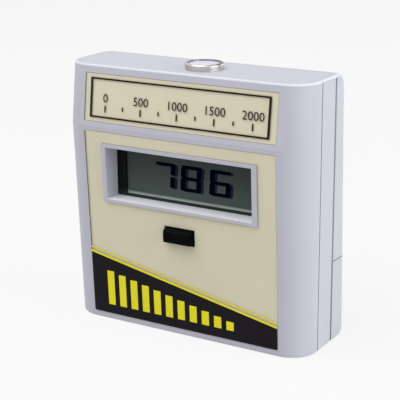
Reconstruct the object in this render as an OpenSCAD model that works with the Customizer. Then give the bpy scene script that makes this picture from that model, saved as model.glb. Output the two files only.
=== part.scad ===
// Solar power meter: a pocket radiometer in a moulded case, standing on its end.
// X is to the right, Y runs from the front to the back, Z is up.
// The front has two flat faces that meet at a ridge. Depths are measured back from that ridge.

/* [Case] */
// Height of the case
case_h = 106.7; // [105:0.1:112]
// Width of the case
case_w = 108; // [107:0.5:114]
// Height of the upper front face, from the ridge to the top
upper_face_h = 24.2; // [23.5:0.1:26]
// How far the lower front face leans back at the foot
lower_lean = 3.7; // [3:0.1:4]
// How far the upper front face leans back at the top
upper_lean = 3.05; // [2.5:0.05:3.4]
// How much deeper the case is at its foot than at its top
back_rake = 4; // [3:0.5:5]
// Radius of the upright front corners
corner_r = 11; // [10:0.5:12]
// Radius of the upright back corners
back_corner_r = 3.5; // [3:0.25:4]
// Radius of the edge where the back meets the top
back_top_r = 5; // [4.5:0.25:6]
// Radius of the edge round the top
edge_r = 0.8; // [0.6:0.1:1]
// Radius of the edge round the foot
foot_r = 0.6; // [0.4:0.1:0.8]
// Radius of the edge where the back meets the foot
back_foot_r = 3.5; // [3:0.1:3.8]
// Wall thickness of both shells and the door
wall = 2.4; // [2.2:0.1:2.6]
// Depth of the groove that runs up both sides
side_groove_depth = 27.3; // [26.5:0.1:28]

/* [Labels] */
// Bare case beside each label
label_side_gap = 11; // [10:0.5:13]
// Bare case between the ridge and each label
label_ridge_gap = 1.9; // [1.5:0.1:2.5]
// Bare case above the upper label
label_top_gap = 3.3; // [2.5:0.1:4]
// Bare case under the lower label
label_foot_gap = 2.6; // [2:0.1:4]
// Thickness of the label film
label_t = 0.35; // [0.25:0.05:0.4]
// Depth of the pocket that a label lies in
label_pocket = 0.5; // [0.45:0.05:0.7]

/* [Display] */
// Bare label on each side of the window rim
rim_side_gap = 8; // [7.5:0.1:9]
// Height of the window rim, outside
rim_h = 23.9; // [23.5:0.1:24.5]
// Width of the rim's upright bars
rim_side = 2; // [1.6:0.1:2.4]
// Height of the rim's level bars
rim_bar = 1.3; // [1:0.1:1.5]
// How far the rim stands in front of the case
rim_stand = 0.7; // [0.5:0.1:1]
// Bare face between the ridge and the rim
rim_drop = 6.7; // [5.5:0.1:7.5]
// Depth of the display frame's face behind the ridge
display_set = 8.2; // [8:0.1:8.6]
// How much narrower the display glass is than the rim, on each side
glass_side_in = 5.5; // [5.3:0.1:5.7]

/* [Button] */
// Width of the push button
button_w = 13; // [12:0.1:14]
// Height of the push button
button_h = 6; // [5.6:0.1:6.6]
// How far the button stands out of the face
button_stand = 3; // [2.5:0.1:3.5]
// Bare label between the window rim and the button
button_below_rim = 6.7; // [6:0.1:7.5]
// How much the button narrows from the case to its front, on each side
button_draft = 0.5; // [0.3:0.05:0.6]
// Travel of the button
button_travel = 1; // [0.8:0.05:1.1]

/* [Sensor] */
// Distance of the sensor to the right of the middle
sensor_x = 4; // [0:0.5:5]
// Depth of the sensor's axis behind the ridge
sensor_depth = 15.2; // [14.8:0.1:16]
// Radius of the sensor ring
ring_r = 7.5; // [7.2:0.1:8]
// Height of the sensor ring above the case
ring_h = 2.6; // [2.2:0.1:3]
// Radius of the sensor barrel under the ring
barrel_r = 5.5; // [5.3:0.1:5.7]
// Length of the barrel from the top of the case down
barrel_l = 9.4; // [9:0.1:10]

/* [Battery] */
// Length of the battery with its terminals
battery_l = 48.5; // [47.5:0.1:48.5]
// Height of the battery as it lies
battery_h = 26.5; // [25.5:0.1:26.5]
// Depth of the battery as it lies
battery_d = 17.5; // [16.5:0.1:17.5]
// Free height over the battery, up to the top of the door
battery_head_room = 3.5; // [3:0.1:4]
// How far the door slides down until it is free
door_travel = 34; // [10:1:36]

/* [Board] */
// Gap between the board and the bosses beside it
board_side_gap = 0.4; // [0.3:0.1:1]
// Thickness of the circuit board
board_t = 1.6; // [1.5:0.1:1.7]
// Height of the board's lower edge
board_foot = 8; // [7.5:0.1:9]
// Height of the board's upper edge over the ridge
board_rise = 7.5; // [7:0.1:8]

/* [Hidden] */

$fn = 48;

// Overrun of every cut, and the clearance between fixed pieces that fit together
overrun = 1;
fit = 0.15;

// Steps of a quarter turn on the front corners, and on the back corners
corner_steps = 10;
back_steps = 5;
// Angles of the rings that round the small edges, and the large ones at the back
edge_angles = [0, 30, 60, 90];
back_edge_angles = [52, 70, 90];

// Seams
seam_gap = 0.6;
groove_gap = 1.3;
groove_in = 1;
tongue_l = 1.3;
tongue_out = wall / 2 + fit;
roof_lap = 0.9;
roof_gap = 0.05;
roof_margin = 1;

// Display stack, from the frame's face back to the board
frame_lip = 0.8;
frame_d = 4.8;
frame_side_out = 1;
frame_bar_out = 3.05;
glass_bar_in = 1.45;
glass_gap = 0.2;
glass_t = 1.1;
rear_glass_in = 2.7;
sight_side_in = 0.7;
sight_bar_in = 0.85;
film_t = 0.2;
film_side_in = 1.1;
film_bar_in = 1.55;
reflector_in = 0.3;
strip_in = 2.5;
strip_h = 2;
strip_gap = 0.4;
peg_r = 0.9;
peg_in = 2.5;
peg_hole_r = 1.05;
label_w = case_w - 2 * label_side_gap;
rim_w = label_w - 2 * rim_side_gap;
frame_w = rim_w + 2 * frame_side_out;
frame_h = rim_h + 2 * frame_bar_out;
glass_w = rim_w - 2 * glass_side_in;
glass_h = rim_h - 2 * glass_bar_in;
sight_w = glass_w - 2 * sight_side_in;
sight_h = glass_h - 2 * sight_bar_in;
film_w = glass_w - 2 * film_side_in;
film_h = glass_h - 2 * film_bar_in;
rear_glass_h = glass_h - 2 * rear_glass_in;
reflector_h = rear_glass_h - 2 * reflector_in;
strip_l = glass_w - 2 * strip_in;
peg_x = frame_w / 2 - peg_in;
peg_z = frame_h / 2 - peg_in;

// Depths of the board and of the seam between the shells
board_front = display_set + frame_d;
board_back = board_front + board_t;
board_gap = 0.9;
seam_depth = board_back + board_gap;

// Screws, and the bosses that they go through
boss_r = 3.6;
rear_boss_r = 4.6;
boss_side_gap = 1;
boss_low_gap = 0.4;
boss_high_gap = 2.6;
screw_r = 1.45;
screw_l = 13;
screw_head_r = 2.8;
screw_head_h = 2;
screw_hole_r = 1.7;
screw_bore_r = 1.5;
screw_bore_l = 7;
counterbore_r = 3.3;
screw_seat = 6.5;
screw_cover = 2.2;
cross_w = 0.7;
cross_l = 3.2;
cross_depth = 1;
boss_x = case_w / 2 - wall - rear_boss_r - boss_side_gap;
boss_low = wall + rear_boss_r + boss_low_gap;
boss_high = case_h - wall - rear_boss_r - boss_high_gap;
screw_seat_depth = seam_depth + screw_seat;

// Heights
ridge_h = case_h - upper_face_h;
window_z = ridge_h - rim_drop - rim_h / 2;
button_z = window_z - rim_h / 2 - button_below_rim - button_h / 2;

// Board and its screws
board_head = ridge_h + board_rise;
board_corner_r = 2;
board_hole_in = 4;
board_hole_r = 1.6;
board_boss_r = 3;
board_screw_r = 1.2;
board_bore_r = 1.25;
board_bore_l = 6;
board_screw_l = 6.5;
board_head_r = 2.3;
board_head_h = 1.5;
board_w = 2 * (boss_x - boss_r - board_side_gap);
board_hole_x = board_w / 2 - board_hole_in;
board_hole_low = board_foot + board_hole_in;
board_hole_high = board_head - board_hole_in;

// Battery compartment
partition_gap = 1.5;
partition_t = 1.2;
battery_gap = 0.3;
battery_lift = 0.6;
battery_corner_r = 2.2;
terminal_h = 2.6;
pad_t = 0.8;
pad_glue = 0.05;
pad_gap = 0.25;
pad_w = 34;
pad_h = 16;
shelf_t = 1.6;
partition_depth = seam_depth + partition_gap;
battery_front = partition_depth + partition_t + battery_gap;
battery_mid = battery_front + battery_d / 2;
battery_foot = wall + battery_lift;
battery_top = battery_foot + battery_h;
battery_z = battery_foot + battery_h / 2;
can_l = battery_l - terminal_h;
can_end = can_l / 2 - terminal_h / 2;
lead_hole_r = 3;
lead_hole_in = 6;
lead_hole_x = board_w / 2 - lead_hole_in;
lead_hole_drop = 5.5;
lead_hole_z = battery_top - lead_hole_drop;

// Battery door
door_h = battery_top + battery_head_room;
door_gap = 0.4;
door_lift = 0.2;
lip_t = 1;
lip_rise = 2.3;
lip_root = 3;
lip_side_in = 5.7;
lip_gap = 0.25;
lip_in = battery_front + battery_d + pad_gap;
shelf_z = door_h + door_gap + lip_rise + lip_gap + roof_margin / 2;
rail_t = 1.6;
rail_gap = 0.3;
rail_reach = 5.7;
bead_w = 1.5;
bead_out = 1;
bead_gap = 0.25;
rail_in = case_w / 2 - wall - rail_gap - rail_t;
rail_out = case_w / 2 - wall - rail_gap;
lip_w = 2 * (rail_in - lip_side_in);
rail_end = side_groove_depth + rail_reach;
rail_foot = wall + rail_gap;
grip_w = 30;
grip_h = 13;
grip_corner_r = 5;
grip_in = 0.8;
grip_ribs = 5;
grip_rib_h = 1;
grip_z = door_h / 2;

// Depth of the back at the foot and at the top, from the stack that the battery needs
back_foot = battery_front + battery_d + pad_gap + pad_t + wall + back_rake * battery_top / case_h;
back_head = back_foot - back_rake;
roof_end = back_head - back_top_r - roof_margin;

// Place of the ridge that centres the whole part front to back
button_face = lower_lean * (ridge_h - button_z) / ridge_h - button_stand;
ridge_y = -(button_face + back_foot - back_rake * back_foot_r / case_h) / 2;

// Slopes and lengths of the two front faces, and the slope of the back
lower_angle = atan(lower_lean / ridge_h);
upper_angle = atan(upper_lean / upper_face_h);
back_angle = atan(back_rake / case_h);
lower_l = ridge_h / cos(lower_angle);
upper_l = upper_face_h / cos(upper_angle);
label_corner_r = 0.8;
label_cut_gap = 0.2;

// Button and switch
button_gap = 0.3;
button_edge = 0.5;
button_wall = 1.2;
button_front_t = 2.2;
button_flange_out = 0.8;
button_flange_t = 1;
button_flange_gap = 0.4;
button_rest_gap = 0.4;
post_r = 2.3;
socket_l = 2.2;
switch_w = 9;
switch_d = 5.4;
switch_skin = 0.8;
switch_edge = 0.6;
plunger_r = 1.5;
plunger_gap = 0.1;
socket_gap = 0.04;
collar_r = 2.2;
collar_t = 0.8;
switch_bore_r = 2.6;
spring_r = 1.6;
spring_wire_r = 0.2;
spring_turns = 4;
spring_sides = 6;
spring_steps = 10;
switch_base = 0.6;
switch_face = board_front - switch_d;
button_back = switch_face - button_travel - button_rest_gap;
collar_depth = switch_face + switch_skin + plunger_gap;
switch_lead_w = 0.7;
switch_lead_t = 0.3;
switch_lead_reach = 0.9;
switch_lead_x = 3.2;
switch_lead_h = 1.6;

// Sensor
ring_edge = 0.6;
diffuser_r = 6.1;
diffuser_t = 1.4;
diffuser_set = 0.4;
diffuser_gap = 0.1;
diffuser_dome = 0.2;
barrel_wall = 0.8;
barrel_ledge = 1;
barrel_ledge_r = 3.4;
roof_hole_gap = 0.1;
nut_w = 14;
nut_t = 2.4;
diode_flange_r = 4.55;
diode_flange_t = 0.5;
diode_r = 4;
diode_h = 3.4;
diode_window_r = 2.8;
diode_window_in = 0.3;
diode_lead_x = 1.27;
diode_lead_r = 0.25;
diode_lead_drop = 4;
diode_lead_end = board_head - diode_lead_drop;

// Parts on the back of the board: the large chip half way up the room over the shelf, and a row under
// it and over it
chip_w = 52;
chip_h = 13.8;
chip_t = 3.8;
chip_stand = 0.6;
chip_notch_r = 1.2;
chip_notch_in = 0.5;
leg_pitch = 2.54;
leg_w = 0.5;
leg_t = 0.3;
leg_out = 0.7;
leg_rows = 20;
room_foot = shelf_z + shelf_t;
chip_z = (room_foot + board_head) / 2;
low_row_z = (room_foot + chip_z - chip_h / 2 - leg_out) / 2;
high_row_z = (board_head + chip_z + chip_h / 2 + leg_out) / 2;
amplifier_w = 9.6;
amplifier_h = 6.4;
amplifier_in = 22;
amplifier_x = -board_w / 2 + amplifier_in;
amplifier_legs = 4;
resistor_r = 1.15;
resistor_l = 6.3;
resistor_span = 8.2;
resistor_pitch = 6;
resistor_in = 8;
resistor_x = -board_w / 2 + resistor_in;
resistor_count = 5;
resistor_stand = 0.4;
wire_r = 0.3;
film_cap_w = 6.5;
film_cap_h = 10;
film_cap_t = 4.5;
film_cap_r = 0.8;
film_cap_x = (chip_w / 2 + board_w / 2) / 2;
can_r = 3.15;
can_h = 11;
can_groove = 0.35;
can_in = 9.5;
can_x = board_w / 2 - can_in;
can_pitch = 8.5;

// Battery snap and leads
snap_h = 24;
snap_d = 13.5;
snap_t = 4.6;
snap_r = 2;
snap_gap = 0.25;
snap_hole_r = 4.2;
stud_r = 2.9;
socket_r = 3.8;
terminal_pitch = 12.7;
terminal_base_t = 0.5;
lead_r = 0.65;
lead_pitch = 2.4;

function at_depth(d) = ridge_y + d;

// Depth of the front surface and of the back surface at a height
function front_depth(z) = z < ridge_h
    ? lower_lean * (ridge_h - z) / ridge_h
    : upper_lean * (z - ridge_h) / upper_face_h;
function back_depth(z) = back_foot - back_rake * z / case_h;

// Points on an arc about a centre, at one height
function arc(x, y, z, r, a0, a1, steps) =
    [for (i = [0:steps]) let (a = a0 + (a1 - a0) * i / steps) [x + r * cos(a), y + r * sin(a), z]];

// Outline of the case at one height: drawn in all round, and drawn in further at the back
function case_ring(z, side_in, back_in) =
    let (
        front_x = case_w / 2 - corner_r,
        back_x = case_w / 2 - back_corner_r,
        front_y = at_depth(front_depth(z)) + corner_r,
        back_y = at_depth(back_depth(z)) - back_corner_r - (back_in - side_in),
        front_r = corner_r - side_in,
        back_r = back_corner_r - side_in
    )
    concat(
        arc(front_x, front_y, z, front_r, 270, 360, corner_steps),
        arc(back_x, back_y, z, back_r, 0, 90, back_steps),
        arc(-back_x, back_y, z, back_r, 90, 180, back_steps),
        arc(-front_x, front_y, z, front_r, 180, 270, corner_steps)
    );

// How far an edge of radius r is drawn in at a distance from the end of the case
function drawn_in(r, d) = d < r ? r - sqrt(r * r - (r - d) * (r - d)) : 0;

// Distances from the end of the case at which an edge and the large edge behind it have rings
function edge_steps(r, back_r) = concat(
    [for (a = edge_angles) r * (1 - cos(a))],
    [for (a = back_edge_angles) back_r * (1 - cos(a))]
);

// A solid through rings of equal length, from the lowest to the highest
module loft(rings) {
    n = len(rings[0]);
    m = len(rings);
    polyhedron(
        points = [for (ring = rings) each ring],
        faces = concat(
            [[for (i = [0:n - 1]) i]],
            [for (j = [0:m - 2]) for (i = [0:n - 1])
                [j * n + i, (j + 1) * n + i, (j + 1) * n + (i + 1) % n, j * n + (i + 1) % n]],
            [[for (i = [n - 1:-1:0]) (m - 1) * n + i]]
        )
    );
}

// The closed outer form of the case
module case_outside() {
    foot = [for (d = edge_steps(foot_r, back_foot_r)) case_ring(d, drawn_in(foot_r, d), drawn_in(back_foot_r, d))];
    steps = edge_steps(edge_r, back_top_r);
    head = [for (i = [len(steps) - 1:-1:0])
        case_ring(case_h - steps[i], drawn_in(edge_r, steps[i]), drawn_in(back_top_r, steps[i]))];
    loft(concat(foot, [case_ring(ridge_h, 0, 0)], head));
}

// The same form drawn in by a distance all round
module case_inside(inset) {
    r = back_top_r - inset;
    head = [for (i = [len(edge_angles) - 1:-1:0]) let (a = edge_angles[i])
        case_ring(case_h - inset - r * (1 - cos(a)), inset, inset + r * (1 - sin(a)))];
    loft(concat([case_ring(inset, inset, inset), case_ring(ridge_h, inset, inset)], head));
}

// Everything between two depths, and between two heights
module slab(depth0, depth1, z0, z1) {
    translate([-case_w, at_depth(depth0), z0])
        cube([2 * case_w, depth1 - depth0, z1 - z0]);
}

// A box centred on X, given by its half width, depths and heights
module block(half_w, depth0, depth1, z0, z1) {
    translate([-half_w, at_depth(depth0), z0])
        cube([2 * half_w, depth1 - depth0, z1 - z0]);
}

// A flat rectangle with round corners, centred
module round_rect(w, h, r) {
    square([w - 2 * r, h], center = true);
    square([w, h - 2 * r], center = true);
    for (x = [-1, 1], y = [-1, 1])
        translate([x * (w / 2 - r), y * (h / 2 - r)])
            circle(r = r);
}

// A plate that faces the front, centred on X and Z, from depth 0 back to its thickness
module front_plate(w, h, r, t) {
    translate([0, t, 0])
        rotate([90, 0, 0])
            linear_extrude(height = t)
                round_rect(w, h, r);
}

// A cylinder along Y between two depths
module rod_y(x, z, r, depth0, depth1) {
    translate([x, at_depth(depth1), z])
        rotate([90, 0, 0])
            cylinder(r = r, h = depth1 - depth0);
}

// Frames that lie on the faces: Y points into the case on the front, and outward on the back
module on_lower_face() {
    translate([0, ridge_y, ridge_h])
        rotate([lower_angle, 0, 0])
            children();
}
module on_upper_face() {
    translate([0, ridge_y, ridge_h])
        rotate([-upper_angle, 0, 0])
            children();
}
module on_back_face() {
    translate([0, at_depth(back_foot), 0])
        rotate([back_angle, 0, 0])
            children();
}

// The lower label's outline as a plate, grown by a gap, from the face in
module lower_label_plate(grow, depth0, t) {
    h = lower_l - label_ridge_gap - label_foot_gap;
    on_lower_face()
        translate([0, depth0, -label_ridge_gap - h / 2])
            front_plate(label_w + 2 * grow, h + 2 * grow, label_corner_r, t);
}
module upper_label_plate(grow, depth0, t) {
    h = upper_l - label_ridge_gap - label_top_gap;
    on_upper_face()
        translate([0, depth0, label_ridge_gap + h / 2])
            front_plate(label_w + 2 * grow, h + 2 * grow, label_corner_r, t);
}

// The four places of the case screws, and of the board screws
module at_case_screws() {
    for (x = [-boss_x, boss_x], z = [boss_low, boss_high])
        translate([x, 0, z])
            children();
}
module at_board_screws() {
    for (x = [-board_hole_x, board_hole_x], z = [board_hole_low, board_hole_high])
        translate([x, 0, z])
            children();
}

// Front shell: face, sides up to the seam, and the roof over the whole top
module front_zone() {
    slab(-case_h, seam_depth - seam_gap / 2, -overrun, case_h + overrun);
    slab(0, roof_end, case_h - roof_lap, case_h + overrun);
    block(case_w / 2 - wall - fit, 0, roof_end, case_h - 2 * wall, case_h + overrun);
}
module window_box(w, h, depth0, depth1) {
    block(w / 2, depth0, depth1, window_z - h / 2, window_z + h / 2);
}
module display_tunnel() {
    intersection() {
        window_box(rim_w, rim_h, -case_h, display_set - fit);
        on_lower_face()
            translate([-case_w, -rim_stand, -case_h])
                cube([2 * case_w, case_w, 2 * case_h]);
    }
}
module front_tongue() {
    difference() {
        intersection() {
            case_inside(tongue_out);
            slab(seam_depth - tongue_l, seam_depth + tongue_l, -overrun, case_h - wall - fit);
        }
        case_inside(wall);
    }
}
module front_shell() {
    color("#c2c1cf")
    difference() {
        union() {
            difference() {
                intersection() {
                    case_outside();
                    front_zone();
                }
                case_inside(wall);
                lower_label_plate(0, -overrun, overrun + label_pocket);
                upper_label_plate(0, -overrun, overrun + label_pocket);
            }
            intersection() {
                case_inside(wall / 2);
                union() {
                    at_case_screws()
                        rod_y(0, 0, boss_r, 0, seam_depth - fit / 2);
                    at_board_screws()
                        rod_y(0, 0, board_boss_r, 0, board_front);
                }
            }
            display_tunnel();
            front_tongue();
        }
        window_box(rim_w - 2 * rim_side, rim_h - 2 * rim_bar, -case_h, board_front);
        block(button_w / 2 + button_gap, -case_h, board_front,
            button_z - button_h / 2 - button_gap, button_z + button_h / 2 + button_gap);
        at_case_screws()
            rod_y(0, 0, screw_bore_r, seam_depth - screw_bore_l, seam_depth + overrun);
        at_board_screws()
            rod_y(0, 0, board_bore_r, board_front - board_bore_l, board_front + overrun);
        translate([sensor_x, at_depth(sensor_depth), case_h - 2 * wall])
            cylinder(r = barrel_r + roof_hole_gap, h = 3 * wall);
    }
}

// Rear shell: band behind the seam, back wall, battery compartment and door rails
module rear_zone() {
    slab(seam_depth + seam_gap / 2, case_h, -overrun, case_h - roof_lap - roof_gap);
    slab(roof_end + roof_gap, case_h, case_h / 2, case_h + overrun);
}
module side_groove() {
    difference() {
        slab(side_groove_depth - groove_gap / 2, side_groove_depth + groove_gap / 2, -overrun, case_h + overrun);
        case_inside(groove_in);
    }
}
module door_rail(side) {
    mirror([side, 0, 0]) {
        translate([rail_in, at_depth(side_groove_depth - groove_gap / 2 - wall), rail_foot])
            cube([case_w / 2 - wall / 2 - rail_in, wall, shelf_z - rail_foot]);
        translate([rail_in, at_depth(side_groove_depth - groove_gap / 2 - wall), rail_foot])
            cube([rail_t, rail_reach + wall, shelf_z - rail_foot]);
        translate([rail_in, at_depth(rail_end - groove_gap / 2 - bead_w), rail_foot])
            cube([rail_t + bead_out, bead_w, shelf_z - rail_foot]);
    }
}
module rear_shell() {
    color("#c8cbd6")
    difference() {
        union() {
            difference() {
                intersection() {
                    case_outside();
                    rear_zone();
                }
                case_inside(wall);
                slab(side_groove_depth - door_gap / 2, 2 * case_h, -overrun, door_h + door_gap);
            }
            intersection() {
                case_inside(wall / 2);
                union() {
                    slab(partition_depth, partition_depth + partition_t, 0, shelf_z + shelf_t);
                    slab(partition_depth, case_h, shelf_z, shelf_z + shelf_t);
                    for (x = [-boss_x, boss_x]) {
                        rod_y(x, boss_low, rear_boss_r, seam_depth + fit / 2, screw_seat_depth + screw_cover);
                        rod_y(x, boss_high, rear_boss_r, seam_depth + fit / 2, case_h);
                    }
                    battery_ribs(partition_depth, side_groove_depth - groove_gap / 2);
                    for (x = [-can_end - terminal_h - battery_gap - partition_t / 2,
                              can_end + snap_gap + snap_t + battery_gap + partition_t / 2])
                        translate([x, 0, 0])
                            block(partition_t / 2, partition_depth, battery_mid, wall / 2, battery_z);
                }
            }
            for (side = [0, 1])
                door_rail(side);
        }
        difference() {
            slab(0, seam_depth + tongue_l + fit, -overrun, case_h + overrun);
            case_inside(wall);
            difference() {
                slab(0, case_h, -overrun, case_h + overrun);
                case_inside(wall / 2);
            }
        }
        side_groove();
        block(case_w / 2 - wall, 0, roof_end + fit, case_h - wall - fit, case_h);
        block(lip_w / 2 + lip_gap, lip_in - overrun, lip_in + lip_t + lip_gap, door_h, shelf_z - roof_margin / 2);
        at_case_screws() {
            rod_y(0, 0, screw_hole_r, seam_depth - overrun, screw_seat_depth + overrun);
            rod_y(0, 0, counterbore_r, screw_seat_depth, case_h);
        }
        rod_y(lead_hole_x, lead_hole_z, lead_hole_r, partition_depth - overrun, partition_depth + partition_t + overrun);
    }
}

// Low ribs that the battery stands on, in the rear shell and in the door
module battery_ribs(depth0, depth1) {
    for (x = [-can_end / 2, can_end / 2])
        translate([x, 0, 0])
            block(partition_t / 2, depth0, depth1, wall / 2, battery_foot - fit / 2);
}

// Battery door: the whole foot of the back, with grooves that run on the rails
module battery_door() {
    color("#cfd3da")
    difference() {
        union() {
            difference() {
                intersection() {
                    case_outside();
                    slab(side_groove_depth + door_gap / 2, case_h, door_lift, door_h);
                }
                case_inside(wall);
                side_groove();
                for (side = [0, 1])
                    mirror([side, 0, 0])
                        translate([rail_out - overrun, at_depth(rail_end - groove_gap / 2 - bead_w - bead_gap),
                            rail_foot - bead_gap])
                            cube([overrun + bead_out + bead_gap, bead_w + 2 * bead_gap, door_h]);
                on_back_face()
                    translate([0, -grip_in, grip_z])
                        front_plate(grip_w, grip_h, grip_corner_r, grip_in + overrun);
            }
            block(lip_w / 2, lip_in, lip_in + lip_t, door_h - lip_root, door_h + lip_rise);
            battery_ribs(side_groove_depth + groove_gap / 2, battery_front + battery_d);
            for (i = [0:grip_ribs - 1])
                on_back_face()
                    translate([0, -grip_in - grip_in / 2, grip_z + (i - (grip_ribs - 1) / 2) * 2 * grip_rib_h])
                        front_plate(grip_w - grip_h, grip_rib_h, grip_rib_h / 2 - fit / 2, grip_in + grip_in / 2);
        }
    }
}

// Labels, with the openings for the rim and the button
module upper_label() {
    color("#d3ccb4")
        upper_label_plate(-fit, label_pocket - label_t, label_t);
}
module lower_label() {
    color("#d0c9ae")
    difference() {
        lower_label_plate(-fit, label_pocket - label_t, label_t);
        window_box(rim_w + 2 * label_cut_gap, rim_h + 2 * label_cut_gap, -case_h, display_set);
        block(button_w / 2 + button_gap + label_cut_gap, -case_h, display_set,
            button_z - button_h / 2 - button_gap - label_cut_gap,
            button_z + button_h / 2 + button_gap + label_cut_gap);
    }
}

// Display: black frame with a lip round the glass, and pegs into the board
module display_frame() {
    color("#151517") {
        difference() {
            window_box(frame_w, frame_h, display_set, board_front);
            window_box(sight_w, sight_h, display_set - overrun, board_front);
            window_box(glass_w + 2 * glass_gap, glass_h + 2 * glass_gap, display_set + frame_lip, board_front + overrun);
        }
        for (x = [-peg_x, peg_x], z = [-peg_z, peg_z])
            rod_y(x, window_z + z, peg_r, board_front - frame_lip, board_back);
    }
}
glass_front = display_set + frame_lip + fit / 2;
module lcd_glass() {
    color("#6f7d74") {
        window_box(glass_w, glass_h, glass_front, glass_front + glass_t);
        window_box(glass_w, rear_glass_h, glass_front + glass_t, glass_front + 2 * glass_t);
    }
}
module lcd_polariser() {
    color("#3a423e")
        window_box(film_w, film_h, glass_front - film_t, glass_front);
}
module lcd_reflector() {
    color("#8c9388")
        window_box(film_w, reflector_h, glass_front + 2 * glass_t, glass_front + 2 * glass_t + film_t);
}
module contact_strips() {
    color("#c58a7d")
    for (side = [-1, 1])
        translate([0, 0, window_z + side * (rear_glass_h / 2 + strip_gap + strip_h / 2)])
            block(strip_l / 2, glass_front + glass_t, board_front, -strip_h / 2, strip_h / 2);
}

// Circuit board on the bosses of the front shell
module circuit_board() {
    color("#2f6b45")
    difference() {
        translate([0, at_depth(board_front), (board_foot + board_head) / 2])
            front_plate(board_w, board_head - board_foot, board_corner_r, board_t);
        at_board_screws()
            rod_y(0, 0, board_hole_r, board_front - overrun, board_back + overrun);
        for (x = [-peg_x, peg_x], z = [-peg_z, peg_z])
            rod_y(x, window_z + z, peg_hole_r, board_front - overrun, board_back + overrun);
    }
}
module board_screws() {
    color("#b9bcc0")
    at_board_screws()
    difference() {
        union() {
            rod_y(0, 0, board_head_r, board_back, board_back + board_head_h);
            rod_y(0, 0, board_screw_r, board_back - board_screw_l, board_back);
        }
        cross_slot(board_back + board_head_h);
    }
}

// Cross recess in a screw head that faces the back
module cross_slot(depth) {
    block(cross_l / 2, depth - cross_depth, depth + overrun, -cross_w / 2, cross_w / 2);
    block(cross_w / 2, depth - cross_depth, depth + overrun, -cross_l / 2, cross_l / 2);
}
module case_screws() {
    color("#b9bcc0")
    at_case_screws()
    difference() {
        union() {
            rod_y(0, 0, screw_head_r, screw_seat_depth, screw_seat_depth + screw_head_h);
            rod_y(0, 0, screw_r, screw_seat_depth - screw_l, screw_seat_depth);
        }
        cross_slot(screw_seat_depth + screw_head_h);
    }
}

// Chips with two rows of legs, on the back of the board
module chip_body(w, h, x, z) {
    difference() {
        translate([x, 0, z])
            block(w / 2, board_back + chip_stand, board_back + chip_stand + chip_t, -h / 2, h / 2);
        rod_y(x - w / 2, z, chip_notch_r, board_back + chip_stand + chip_t - chip_notch_in,
            board_back + chip_stand + chip_t + overrun);
    }
}
module chip_legs(count, h, x, z) {
    for (i = [0:count - 1], side = [0, 1])
        translate([x + (i - (count - 1) / 2) * leg_pitch, 0, z])
            mirror([0, 0, side]) {
                block(leg_w / 2, board_back, board_back + chip_stand + chip_t / 2, h / 2 + leg_out - leg_t, h / 2 + leg_out);
                block(leg_w / 2, board_back + chip_stand + chip_t / 2 - leg_t, board_back + chip_stand + chip_t / 2,
                    h / 2, h / 2 + leg_out);
            }
}
module meter_chip() {
    color("#1c1c1e")
        chip_body(chip_w, chip_h, 0, chip_z);
}
module meter_chip_legs() {
    color("#c4c7ca")
        chip_legs(leg_rows, chip_h, 0, chip_z);
}
module amplifier_chip() {
    color("#1c1c1e")
        chip_body(amplifier_w, amplifier_h, amplifier_x, low_row_z);
    color("#c4c7ca")
        chip_legs(amplifier_legs, amplifier_h, amplifier_x, low_row_z);
}

// Resistors with bent leads, film capacitors and upright cans
module resistors() {
    mid = board_back + resistor_stand + resistor_r;
    for (i = [0:resistor_count - 1])
        translate([resistor_x + i * resistor_pitch, at_depth(mid), high_row_z]) {
            color("#c9ad82")
            rotate_extrude()
                polygon(concat(
                    [[0, -resistor_l / 2], [resistor_r * 3 / 4, -resistor_l / 2]],
                    [[resistor_r, -resistor_l / 2 + resistor_r / 2], [resistor_r, -resistor_l / 4],
                     [resistor_r * 5 / 6, -resistor_l / 5], [resistor_r * 5 / 6, resistor_l / 5],
                     [resistor_r, resistor_l / 4], [resistor_r, resistor_l / 2 - resistor_r / 2]],
                    [[resistor_r * 3 / 4, resistor_l / 2], [0, resistor_l / 2]]
                ));
            color("#c4c7ca")
            for (side = [0, 1])
                mirror([0, 0, side]) {
                    translate([0, 0, resistor_l / 2])
                        cylinder(r = wire_r, h = (resistor_span - resistor_l) / 2);
                    translate([0, 0, resistor_span / 2])
                        sphere(r = wire_r, $fn = 24);
                    translate([0, 0, resistor_span / 2])
                        rotate([90, 0, 0])
                            cylinder(r = wire_r, h = resistor_stand + resistor_r);
                }
        }
}
module film_capacitors() {
    color("#8e3b2e")
    for (x = [-film_cap_x, film_cap_x])
        translate([x, at_depth(board_back), chip_z])
            front_plate(film_cap_w, film_cap_h, film_cap_r, film_cap_t);
}
module electrolytic_capacitors() {
    color("#2a3350")
    for (i = [0, 1])
        translate([can_x - i * can_pitch, at_depth(board_back), low_row_z])
            rotate([-90, 0, 0])
                rotate_extrude()
                    polygon([
                        [0, 0], [can_r - can_groove, 0], [can_r, can_groove], [can_r, 2 * can_groove],
                        [can_r - can_groove, 4 * can_groove], [can_r, 6 * can_groove],
                        [can_r, can_h - can_groove], [can_r - can_groove, can_h], [0, can_h]
                    ]);
}

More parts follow.
